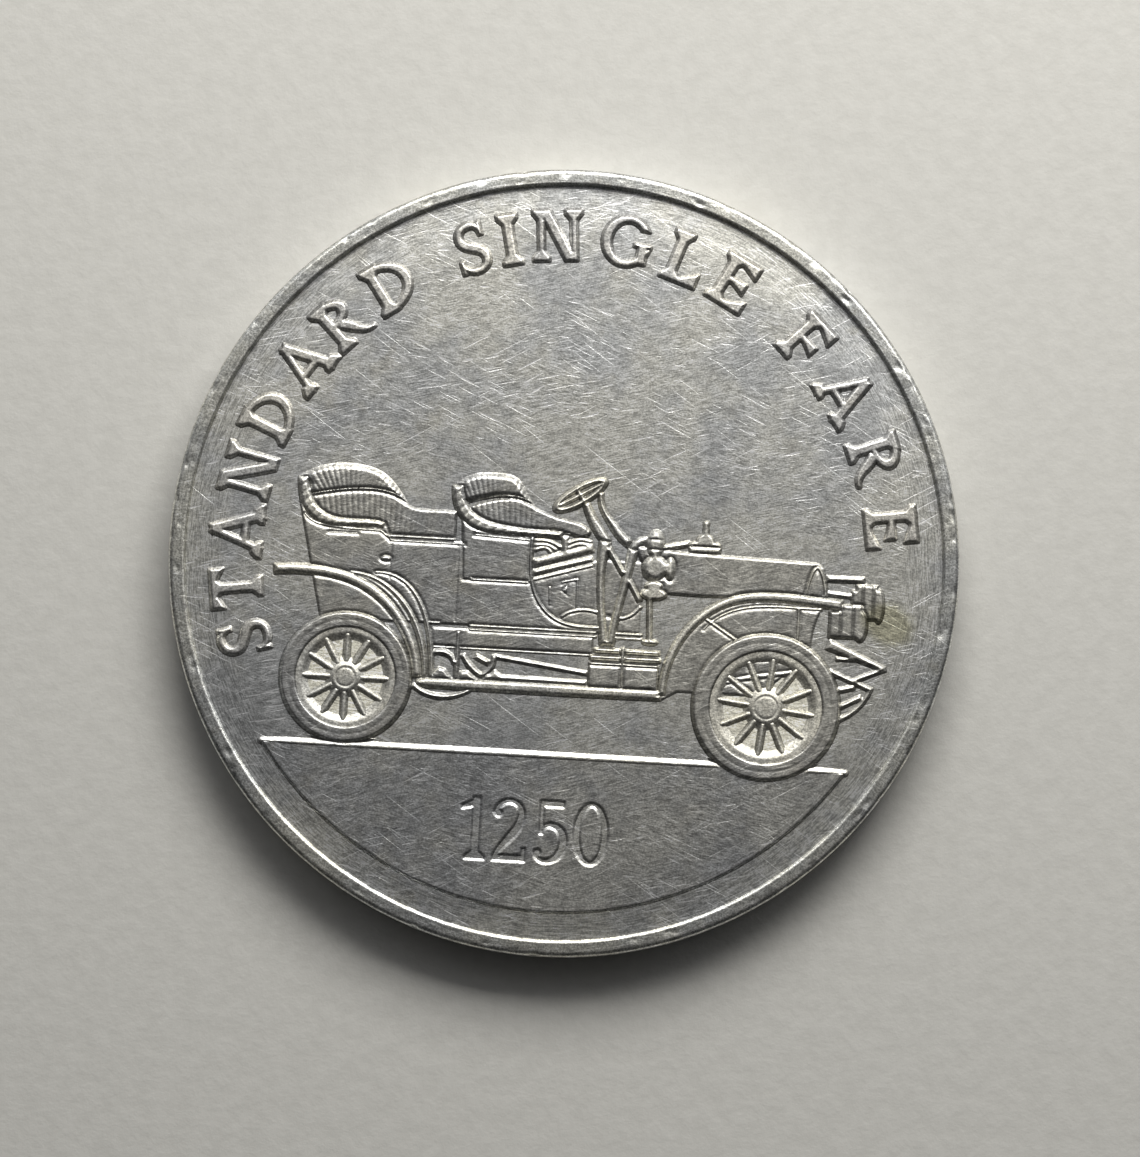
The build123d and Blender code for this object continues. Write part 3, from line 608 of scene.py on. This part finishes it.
def turned(share, width, deep):
    """A groove round the middle of a round piece, at a share of its radius."""

    def detail(x, y, low, high):
        middle_x, middle_y = (low[0] + high[0]) / 2, (low[1] + high[1]) / 2
        return groove(np.hypot(x - middle_x, y - middle_y) - share * (high[0] - low[0]) / 2, width, deep)

    return detail


def door_seams(x, y, low, high):
    """The door's front and rear seams."""
    rear = corners("rear_seat_arm")[1][0] + 0.25
    front = corners("front_seat_panel")[0][0] - 0.05
    handle = corners("door_handle")[0][1]
    by_handle = np.abs(y - handle) < 0.6
    by_seat = (y < 0.4) & (y > low[1] + 0.1)
    return groove(x - rear, 0.03, SEAM_DEPTH) * by_handle + groove(x - front, 0.03, SEAM_DEPTH) * by_seat


# For each node: the width of its wall inside the outline, the foot outside it, the power that shapes the
# wall (under 1 for a round bar, 1 for an even slope, over 1 for a bowl), and its own detail.
ROUND_BAR = (0.11, 0.05, 0.65, None)
SHAPES = {
    "rear_tyre": (0.1, 0.05, 0.8, turned(0.87, 0.04, 0.006)),
    "front_tyre": (0.11, 0.05, 0.8, turned(0.87, 0.04, 0.006)),
    "rear_felloe": (0.04, 0.34, 1.5, None),
    "front_felloe": (0.04, 0.37, 1.5, None),
    "rear_spokes": (0.08, 0.05, 0.8, None),
    "front_spokes": (0.08, 0.05, 0.8, None),
    "rear_hub": (0.08, 0.34, 1.4, turned(0.72, 0.035, 0.02)),
    "front_hub": (0.08, 0.36, 1.4, turned(0.78, 0.035, 0.02)),
    "rear_seat_back": (0.22, 0.04, 0.8, pleated(0.195, 1.2)),
    "rear_seat_cushion": (0.1, 0.03, 0.8, pleated(0.19, 9)),
    "front_seat_back": (0.22, 0.04, 0.8, pleated(0.195, 1.4)),
    "front_seat_cushion": (0.1, 0.03, 0.8, pleated(0.19, 7)),
    "rear_seat_arm": (0.13, 0.05, 0.6, rolled(0.36)),
    "front_seat_arm": (0.14, 0.05, 0.6, rolled(0.38)),
    "steering_column": ROUND_BAR,
    "side_levers": ROUND_BAR,
    "rear_mudguard": (0.14, 0.05, 0.7, None),
    "rear_mudguard_ribs": (0.1, 0.05, 0.8, None),
    "front_mudguard": ROUND_BAR,
    "running_board": ROUND_BAR,
    "front_spring": ROUND_BAR,
    "front_leaf_spring": ROUND_BAR,
    "rear_spring": (0.1, 0.06, 0.8, None),
    "radius_rods": ROUND_BAR,
    "lamp_bracket": ROUND_BAR,
    "dash_rail": ROUND_BAR,
    "toe_board": ROUND_BAR,
    "seat_frame": ROUND_BAR,
    "pedals": (0.08, 0.04, 0.8, None),
    "body_side": (0.06, 0.03, 1, door_seams),
    "belt_moulding": (0.05, 0.03, 1, None),
    "sill_moulding": (0.05, 0.03, 1, None),
    "ground_line": (0.11, 0.14, 1, None),
    "toolbox": (0.06, 0.03, 1, lined(0.86)),
    "near_headlamp": (0.1, 0.04, 0.8, banded(0.3, 0.62)),
    "far_headlamp": (0.1, 0.04, 0.8, banded(0.34, 0.66)),
    "side_lamp": (0.18, 0.09, 0.7, lined(0.62, 0.82, deep=0.035)),
    "steering_wheel": (0.08, 0.08, 0.7, None),
    "filler_cap": (0.06, 0.04, 0.8, lined(0.2)),
    "frame_rail": (0.06, 0.03, 1, lined(0.12)),
    "exergue_panel": (0.05, 0.05, 1, None),
    "reverse_numeral": (0.12, 0.06, 0.8, None),
    "reverse_circle": (0.1, 0.06, 0.8, None),
}
POLISHED = {
    "rear_seat_arm", "front_seat_arm", "steering_column", "side_levers", "steering_wheel", "side_lamp",
    "side_lamp_foot", "rear_mudguard", "rear_mudguard_ribs", "front_mudguard", "front_mudguard_frame",
    "running_board", "seat_frame", "dash_rail", "filler_cap", "radiator_band", "toolbox_lids",
}
SEAMLESS = {"exergue_panel", "rear_felloe", "front_felloe"}
PLAIN = (0.07, 0.05, 1, None)
LETTER = (0.06, 0.08, 0.9, None)


def grid_span(low, high):
    """Grid lines that cover a stretch, on one grid shared by every piece."""
    return np.arange(math.floor(low / GRID), math.ceil(high / GRID) + 1) * GRID


def strike(nodes, side):
    """The relief pieces of one face, tallest first, each running on a little under its taller neighbours."""
    whole = grid_span(-RADIUS, RADIUS)
    taller = np.full((len(whole), len(whole)), -REACH)
    for node in sorted(nodes, key=lambda n: (-corners(n)[1][2] if side > 0 else corners(n)[0][2], n)):
        low, high = corners(node)
        shape = SHAPES.get(node, LETTER if node.startswith("legend") else PLAIN)
        slope, foot, power, detail = shape
        margin = UNDER + foot + 4 * GRID
        columns = grid_span(low[0] - margin, high[0] + margin)
        rows = grid_span(low[1] - margin, high[1] + margin)
        i0, j0 = (int(round((line[0] - whole[0]) / GRID)) for line in (columns, rows))
        window = slice(j0, j0 + len(rows)), slice(i0, i0 + len(columns))
        own = signed_depth([rounded(loop) for loop in footprint(node, side)], columns, rows)
        over = taller[window]
        inner = joint_depth(own, over)
        depth = np.minimum(inner, own + UNDER)
        taller[window] = np.maximum(over, own)
        base, top = (low[2], high[2]) if side > 0 else (THICKNESS - high[2], THICKNESS - low[2])
        slope = min(slope, WALL_LIMIT * own.max())
        climb = (inner + foot) / (slope + foot)
        z = (top - base + SINK) * ease(climb) ** power - SINK
        seam = 0 if node in SEAMLESS else min(SEAM_SHARE * (top - base), SEAM_LIMIT)
        z = z - seam * np.exp(-((own / SEAM_WIDTH) ** 2)) * ease((inner - own) / SEAM_WIDTH)
        if detail:
            x, y = np.meshgrid(columns, rows)
            z = z + detail(x, y, low, high) * ease(own / CREST)
        z = base + softened(z, 2)
        material, slot = finish_of(node)
        # Painted shade: the colour darkens towards the foot of every wall.
        shade = FOOT_SHADE * (1 - ease(climb / FOOT_SHARE))
        relief_piece(node, columns, rows, depth, z, shade, foot, side, material)


def finish_of(node):
    """The Blender material and the record's slot of a relief node."""
    if node == "exergue_panel":
        return PANEL_METAL, "ground_panel"
    if node.endswith(("felloe", "hub", "spokes")):
        return LUSTRE_METAL, "struck_relief"
    if node in POLISHED:
        return POLISHED_METAL, "struck_relief"
    if node.startswith(("legend", "reverse")):
        return LETTER_METAL, "struck_lettering"
    return RELIEF_METAL, "struck_relief"


# ---- The blank and its rims ---------------------------------------------------------------------


RIM_WIDTH = 0.52
RIM_CORNER = 0.16
RIM_WALL = 0.045  # width of the rim's inner wall
WALL_START = 0.03  # how far inside the rim's own edge that wall starts
FIELD_END = 12.6  # the field runs on under the rim to this radius
BORDER_START = 10.9  # past this radius the field falls away
BORDER_WIDTH = 1.5
BORDER_FALL = 0.03


def arc(centre_r, centre_z, radius, start, end, steps=8):
    """Points on a rounded corner of a turned profile."""
    angles = np.radians(np.linspace(start, end, steps))
    return [(centre_r + radius * math.cos(a), centre_z + radius * math.sin(a)) for a in angles]


def rim_profile():
    """The obverse rim: a short inner wall, a flat top and a narrow rounded outer corner."""
    low, high = corners("obverse_rim")
    inner, tallest = RADIUS - RIM_WIDTH, RIM_HEIGHT + SINK
    start, bottom = inner - WALL_START, low[2] - SINK
    rise = [(start + RIM_WALL * t, bottom + tallest * float(ease(t))) for t in np.linspace(0, 1, 9)]
    top = [(r, high[2]) for r in np.linspace(inner + RIM_WALL, RADIUS - RIM_CORNER, 7)[1:-1]]
    foot = [(RADIUS - 0.02, low[2] - LET_IN), (RADIUS, low[2])]
    shoulder = arc(RADIUS - RIM_CORNER, high[2] - RIM_CORNER, RIM_CORNER, 0, 90)
    return foot + shoulder + top[::-1] + rise[::-1] + [(start, low[2] - LET_IN)]


def nicks(seed, count):
    """Small dents in a rim, as a change of shape for the lathe."""
    draw = np.random.default_rng(seed)
    at = draw.uniform(0, 2 * math.pi, count)
    out = draw.uniform(RADIUS - 0.4, RADIUS, count)
    wide = draw.uniform(0.05, 0.16, count)
    deep = draw.uniform(0.01, 0.035, count)

    def shape(r, z, angles):
        for k in range(count):
            along = ((angles - at[k] + math.pi) % (2 * math.pi) - math.pi) * RADIUS
            dent = deep[k] * np.exp(-((along / wide[k]) ** 2) - ((r - out[k]) / (0.7 * wide[k])) ** 2)
            z = z - dent
            r = r - dent * (r > RADIUS - 0.1)
        return r, z

    return shape


def border_lift(r):
    """How far the field stands off its level: it falls away a little between the legend and the rim."""
    return float(-BORDER_FALL * ease((r - BORDER_START) / BORDER_WIDTH))


def blank():
    """The planchet and both rims."""
    low, high = corners("planchet")
    face = [(r, high[2] + border_lift(r)) for r in np.linspace(0, FIELD_END, 64)]
    back = [(r, low[2] - border_lift(r)) for r in np.linspace(FIELD_END, 0, 64)]
    edge = [(RADIUS - 0.01, high[2] + 0.01), (RADIUS, high[2])]
    edge += [(RADIUS, z) for z in np.linspace(high[2], low[2], 9)[1:]] + [(RADIUS - 0.01, low[2] - 0.01)]
    profile = face + edge + back
    lathe("blank_body", profile[::-1], FIELD_METAL, "planchet")
    ring = rim_profile()
    lathe("obverse_rim_band", ring, RIM_METAL, "obverse_rim", shape=nicks(11, 90))
    under = [(r, THICKNESS - z) for r, z in ring]
    dents = nicks(29, 70)

    def below(r, z, angles):
        r, z = dents(r, THICKNESS - z, angles)
        return r, THICKNESS - z

    lathe("reverse_rim_band", under[::-1], RIM_METAL, "reverse_rim", shape=below)


# ---- Floor, light and camera --------------------------------------------------------------------


CARD_HALF = 1.5  # metres from the middle of the floor to its sides
CARD_GAP = 0.02  # how far the floor lies under the token
KEY_PLACE = (0.014, 0.079, 0.074)  # metres, as are the light's sides
KEY_SIDES = (0.09, 0.06)
KEY_WATTS = 0.148
KEY_COLOUR = (1, 0.98, 0.94)
# The room's brightness from straight behind the foot of the design (0) to behind its head (1).
ROOM = ((0.0, 0.03), (0.4, 0.03), (0.5, 0.05), (0.6, 0.12), (0.8, 0.7), (1.0, 0.5))
BACKDROP = (0.62, 0.61, 0.58, 1)  # what the camera sees past the floor
VIEW_WIDTH = 37.48
EYE_DISTANCE = 180
SENSOR = 36
TILT = math.radians(5)
ROLL = math.radians(3.26)
AIM = (0.229, -0.563, FIELD_Z)


def floor():
    """A plain pale card under the token."""
    material = bpy.data.materials.new("pale_card")
    graph = Graph(material)
    fibre = graph.noise(graph.place(), 1.6, 5.0, 0.65)
    colour = graph.mix(graph.between(fibre, 0.35, 0.65), (0.53, 0.525, 0.495, 1), (0.56, 0.555, 0.525, 1))
    graph.surface(colour, 0.85, graph.math("MULTIPLY", fibre, 0.03))
    mesh = bpy.data.meshes.new("floor")
    spots = [(x * CARD_HALF, y * CARD_HALF, 0) for x, y in ((-1, -1), (1, -1), (1, 1), (-1, 1))]
    mesh.from_pydata(spots, [], [(0, 1, 2, 3)])
    mesh.materials.append(material)
    card = bpy.data.objects.new("floor", mesh)
    bpy.context.scene.collection.objects.link(card)
    card.location.z = -CARD_GAP * MM


def key_light():
    """One broad soft light from the top of the design, which faces the token."""
    light = bpy.data.lights.new("key_light", "AREA")
    light.shape = "RECTANGLE"
    light.size, light.size_y = KEY_SIDES
    light.energy = KEY_WATTS
    light.color = KEY_COLOUR
    lamp = bpy.data.objects.new("key_light", light)
    bpy.context.scene.collection.objects.link(lamp)
    lamp.location = KEY_PLACE
    lamp.visible_camera = False
    lamp.rotation_euler = (-lamp.location).to_track_quat("-Z", "Y").to_euler()


def room():
    """A room that is darker towards the foot of the design, behind an even backdrop."""
    world = bpy.data.worlds.new("studio")
    bpy.context.scene.world = world
    graph = Graph(world)
    split = graph.node("ShaderNodeSeparateXYZ")
    graph.put(split.inputs[0], graph.node("ShaderNodeTexCoord").outputs["Generated"])
    ramp = graph.node("ShaderNodeValToRGB")
    graph.put(ramp.inputs[0], graph.math("MULTIPLY_ADD", split.outputs["Y"], 0.5, 0.5))
    stops = ramp.color_ramp.elements
    stops[0].position, stops[1].position = ROOM[0][0], ROOM[-1][0]
    for position, _ in ROOM[1:-1]:
        stops.new(position)
    for stop, (_, level) in zip(stops, ROOM):
        stop.color = (level, level, level * 1.02, 1)
    seen = graph.node("ShaderNodeLightPath").outputs["Is Camera Ray"]
    back = graph.node("ShaderNodeBackground")
    graph.put(back.inputs["Color"], graph.mix(seen, ramp.outputs[0], BACKDROP))
    graph.tree.links.new(back.outputs[0], graph.node("ShaderNodeOutputWorld").inputs[0])


def camera():
    """Almost straight down, with the design turned a little clockwise in the picture."""
    lens = bpy.data.cameras.new("camera")
    lens.sensor_fit = "HORIZONTAL"
    lens.sensor_width = SENSOR
    lens.lens = SENSOR * EYE_DISTANCE / VIEW_WIDTH
    lens.clip_start = 0.01
    lens.clip_end = 5
    eye = bpy.data.objects.new("camera", lens)
    bpy.context.scene.collection.objects.link(eye)
    eye.rotation_euler = (TILT, 0, ROLL)
    back = (math.sin(TILT) * math.sin(ROLL), -math.sin(TILT) * math.cos(ROLL), math.cos(TILT))
    eye.location = [(at + EYE_DISTANCE * step) * MM for at, step in zip(AIM, back)]
    bpy.context.scene.camera = eye


BLANK = {"planchet", "obverse_rim", "reverse_rim"}
REVERSE = {"reverse_numeral", "reverse_circle"}

blank()
strike(set(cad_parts) - BLANK - REVERSE, 1)
strike(REVERSE, -1)
floor()
key_light()
room()
camera()
bpy.context.scene.view_settings.view_transform = "Standard"
